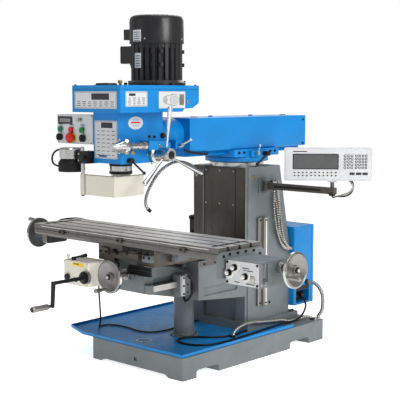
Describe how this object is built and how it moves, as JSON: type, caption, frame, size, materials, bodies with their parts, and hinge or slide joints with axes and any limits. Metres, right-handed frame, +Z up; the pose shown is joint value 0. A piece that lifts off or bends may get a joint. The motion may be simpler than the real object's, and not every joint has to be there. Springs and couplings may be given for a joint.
{
  "type": "ram-type knee milling and drilling machine",
  "caption": "Floor-standing milling and drilling machine with a tilting vertical head on a sliding ram, knee, saddle, long slotted table, handwheels and digital readout.",
  "frame": {"origin": "bottom centre of the bounding box, on the floor under the machine", "axes": "+X along the table to the operator's right, +Y from the operator towards the column, +Z up"},
  "size_m": [1.912, 1.767, 1.75],
  "materials": {
    "machine_blue": "gloss enamel",
    "cast_grey": "satin enamel on cast iron",
    "motor_black": "satin black paint",
    "black_plastic": "moulded, slight sheen",
    "bright_steel": "polished",
    "wheel_alloy": "turned",
    "ground_iron": "ground, lightly oiled",
    "dark_iron": "machined, oiled",
    "panel_grey": "satin",
    "green_button": "gloss",
    "red_button": "gloss",
    "beige_shell": "satin",
    "guard_sheet": "translucent, satin",
    "metal_hose": "braided",
    "black_cable": "matt"
  },
  "bodies": {
    "frame": {"base_casting": "cast_grey", "chip_tray": "machine_blue", "column": "cast_grey", "column_cap_ring": "bright_steel", "screw_pedestal": "cast_grey", "cabinet": "machine_blue", "z_scale": "wheel_alloy", "coolant_hose": "metal_hose", "scale_cables": "metal_hose", "pump_conduit": "metal_hose", "mains_cable": "black_cable", "power_feed_cord": "black_cable"},
    "cabinet_door": {"cabinet_door": "machine_blue"},
    "turret": {"turret": "machine_blue"},
    "turret_lever": {"turret_clamp_lever": "black_plastic"},
    "ram_lever": {"ram_clamp_lever": "bright_steel"},
    "ram": {"ram": "machine_blue"},
    "head_lever": {"head_clamp_lever": "bright_steel"},
    "head": {"head_casting": "machine_blue", "gear_housing": "machine_blue", "motor_body": "motor_black", "motor_fan_cover": "motor_black", "terminal_box": "motor_black", "control_panel": "panel_grey", "guard_rod": "black_plastic"},
    "start_button": {"start_button": "green_button"},
    "stop_button": {"stop_button": "red_button"},
    "coolant_button": {"coolant_button": "green_button"},
    "emergency_stop": {"emergency_stop": "red_button"},
    "speed_knob": {"speed_knob": "black_plastic"},
    "selector_knob": {"selector_knob": "black_plastic"},
    "key_switch": {"key_switch": "bright_steel"},
    "quill": {"quill": "bright_steel"},
    "spindle": {"spindle": "bright_steel"},
    "feed_hub": {"feed_hub": "bright_steel", "feed_handle_1": "bright_steel", "feed_handle_2": "bright_steel", "feed_handle_3": "bright_steel"},
    "fine_feed": {"fine_feed_knob": "bright_steel"},
    "quill_lock": {"quill_lock_lever": "black_plastic"},
    "splash_guard": {"splash_guard": "guard_sheet"},
    "lamp": {"lamp_body": "wheel_alloy", "lamp_bezel": "black_plastic"},
    "knee": {"knee_casting": "cast_grey", "elevating_screw": "bright_steel", "power_feed_box": "beige_shell"},
    "cross_wheel": {"cross_handwheel": "wheel_alloy"},
    "crank": {"knee_crank": "black_plastic"},
    "feed_lever": {"power_feed_lever": "black_plastic"},
    "saddle": {"saddle": "dark_iron"},
    "table": {"table": "ground_iron", "end_plate": "cast_grey", "feed_gearbox": "cast_grey"},
    "left_wheel": {"left_handwheel": "wheel_alloy"},
    "right_wheel": {"right_handwheel": "wheel_alloy"},
    "gear_knob_a": {"gear_knob_a": "black_plastic"},
    "gear_knob_b": {"gear_knob_b": "black_plastic"},
    "gear_knob_c": {"gear_knob_c": "black_plastic"},
    "readout_arm": {"dro_arm": "dark_iron"},
    "readout": {"dro_display": "panel_grey"}
  },
  "joints": [
    {"name": "cabinet_door_hinge", "type": "hinge", "parent": "frame", "child": "cabinet_door", "pos_m": [-0.306, 0.8345, 0], "axis": [0, 0, 1], "range_deg": [0, 110]},
    {"name": "turret_swivel", "type": "hinge", "parent": "frame", "child": "turret", "pos_m": [-0.081, 0.4215, 0], "axis": [0, 0, 1], "range_deg": [-25, 25]},
    {"name": "turret_lever_turn", "type": "hinge", "parent": "turret", "child": "turret_lever", "pos_m": [-0.081, 0.4465, 1.052], "axis": [1, 0, 0], "range_deg": [-20, 5]},
    {"name": "ram_lever_turn", "type": "hinge", "parent": "turret", "child": "ram_lever", "pos_m": [-0.081, 0.3725, 1.056], "axis": [1, 0, 0], "range_deg": [-30, 30]},
    {"name": "ram_slide", "type": "slide", "parent": "turret", "child": "ram", "axis": [0, 1, 0], "range_m": [-0.12, 0.12]},
    {"name": "head_lever_turn", "type": "hinge", "parent": "ram", "child": "head_lever", "pos_m": [-0.081, -0.1605, 1.118], "axis": [1, 0, 0], "range_deg": [-30, 30]},
    {"name": "head_tilt", "type": "hinge", "parent": "ram", "child": "head", "pos_m": [-0.081, -0.3535, 1.165], "axis": [0, 1, 0], "range_deg": [-20, 20]},
    {"name": "start_button_press", "type": "slide", "parent": "head", "child": "start_button", "axis": [0, 1, 0], "range_m": [0, 0.003], "stiffness_N_per_m": 400, "springref_m": -0.001},
    {"name": "stop_button_press", "type": "slide", "parent": "head", "child": "stop_button", "axis": [0, 1, 0], "range_m": [0, 0.003], "stiffness_N_per_m": 400, "springref_m": -0.001},
    {"name": "coolant_button_press", "type": "slide", "parent": "head", "child": "coolant_button", "axis": [0, 1, 0], "range_m": [0, 0.003], "stiffness_N_per_m": 400, "springref_m": -0.001},
    {"name": "emergency_stop_press", "type": "slide", "parent": "head", "child": "emergency_stop", "axis": [0, 1, 0], "range_m": [0, 0.005], "stiffness_N_per_m": 500, "springref_m": -0.001},
    {"name": "speed_knob_turn", "type": "hinge", "parent": "head", "child": "speed_knob", "pos_m": [-0.407, -0.3535, 1.157], "axis": [0, 1, 0], "range_deg": [-135, 135]},
    {"name": "selector_knob_turn", "type": "hinge", "parent": "head", "child": "selector_knob", "pos_m": [-0.237, -0.3535, 1.155], "axis": [0, 1, 0], "range_deg": [-45, 45]},
    {"name": "key_turn", "type": "hinge", "parent": "head", "child": "key_switch", "pos_m": [-0.265, -0.3535, 1.242], "axis": [0, 1, 0], "range_deg": [0, 90]},
    {"name": "quill_feed", "type": "slide", "parent": "head", "child": "quill", "axis": [0, 0, 1], "range_m": [-0.1, 0]},
    {"name": "spindle_spin", "type": "hinge", "parent": "quill", "child": "spindle", "pos_m": [-0.081, -0.4415, 0], "axis": [0, 0, 1], "continuous": true},
    {"name": "feed_hub_turn", "type": "hinge", "parent": "head", "child": "feed_hub", "pos_m": [-0.081, -0.3185, 1.079], "axis": [1, 0, 0], "range_deg": [-5, 182]},
    {"name": "fine_feed_turn", "type": "hinge", "parent": "head", "child": "fine_feed", "pos_m": [0.073, -0.3535, 1.126], "axis": [0, 1, 0], "continuous": true},
    {"name": "quill_lock_turn", "type": "hinge", "parent": "head", "child": "quill_lock", "pos_m": [-0.081, -0.4955, 1.056], "axis": [1, 0, 0], "range_deg": [-30, 30]},
    {"name": "splash_guard_swing", "type": "hinge", "parent": "head", "child": "splash_guard", "pos_m": [-0.216, -0.5655, 0], "axis": [0, 0, 1], "range_deg": [-100, 0]},
    {"name": "lamp_tilt", "type": "hinge", "parent": "head", "child": "lamp", "pos_m": [-0.239, -0.5435, 1.07], "axis": [1, 0, 0], "range_deg": [-15, 15]},
    {"name": "knee_lift", "type": "slide", "parent": "frame", "child": "knee", "axis": [0, 0, 1], "range_m": [-0.14, 0.08]},
    {"name": "cross_wheel_turn", "type": "hinge", "parent": "knee", "child": "cross_wheel", "pos_m": [-0.081, -0.3535, 0.491], "axis": [0, 1, 0], "range_deg": [-5080, 7240]},
    {"name": "crank_turn", "type": "hinge", "parent": "knee", "child": "crank", "pos_m": [-0.223, -0.3535, 0.474], "axis": [0, 1, 0], "range_deg": [-10120, 5800]},
    {"name": "power_feed_lever_turn", "type": "hinge", "parent": "knee", "child": "feed_lever", "pos_m": [-0.343, -0.5215, 0], "axis": [0, 0, 1], "range_deg": [-25, 25]},
    {"name": "cross_slide", "type": "slide", "parent": "knee", "child": "saddle", "axis": [0, 1, 0], "range_m": [-0.07, 0.1]},
    {"name": "table_slide", "type": "slide", "parent": "saddle", "child": "table", "axis": [1, 0, 0], "range_m": [-0.2, 0.2]},
    {"name": "left_wheel_turn", "type": "hinge", "parent": "table", "child": "left_wheel", "pos_m": [-0.081, -0.3135, 0.612], "axis": [1, 0, 0], "range_deg": [-14440, 14440]},
    {"name": "right_wheel_turn", "type": "hinge", "parent": "table", "child": "right_wheel", "pos_m": [-0.081, -0.3135, 0.612], "axis": [1, 0, 0], "range_deg": [-14440, 14440]},
    {"name": "gear_knob_a_turn", "type": "hinge", "parent": "table", "child": "gear_knob_a", "pos_m": [0.645, -0.3535, 0.614], "axis": [0, 1, 0], "range_deg": [-60, 60]},
    {"name": "gear_knob_b_turn", "type": "hinge", "parent": "table", "child": "gear_knob_b", "pos_m": [0.613, -0.3535, 0.588], "axis": [0, 1, 0], "range_deg": [-60, 60]},
    {"name": "gear_knob_c_turn", "type": "hinge", "parent": "table", "child": "gear_knob_c", "pos_m": [0.705, -0.3535, 0.58], "axis": [0, 1, 0], "range_deg": [-60, 60]},
    {"name": "readout_arm_swing", "type": "hinge", "parent": "frame", "child": "readout_arm", "pos_m": [0.139, 0.4085, 0], "axis": [0, 0, 1], "range_deg": [-15, 60]},
    {"name": "readout_swivel", "type": "hinge", "parent": "readout_arm", "child": "readout", "pos_m": [0.559, 0.4105, 0], "axis": [0, 0, 1], "range_deg": [-40, 40]}
  ],
  "couplings": [
    {"joint": "feed_hub_turn", "follows": "quill_feed", "rad_per_m": -31.416},
    {"joint": "cross_wheel_turn", "follows": "cross_slide", "rad_per_m": 1256.6},
    {"joint": "crank_turn", "follows": "knee_lift", "rad_per_m": 1256.6},
    {"joint": "left_wheel_turn", "follows": "table_slide", "rad_per_m": 1256.6},
    {"joint": "right_wheel_turn", "follows": "table_slide", "rad_per_m": 1256.6}
  ]
}
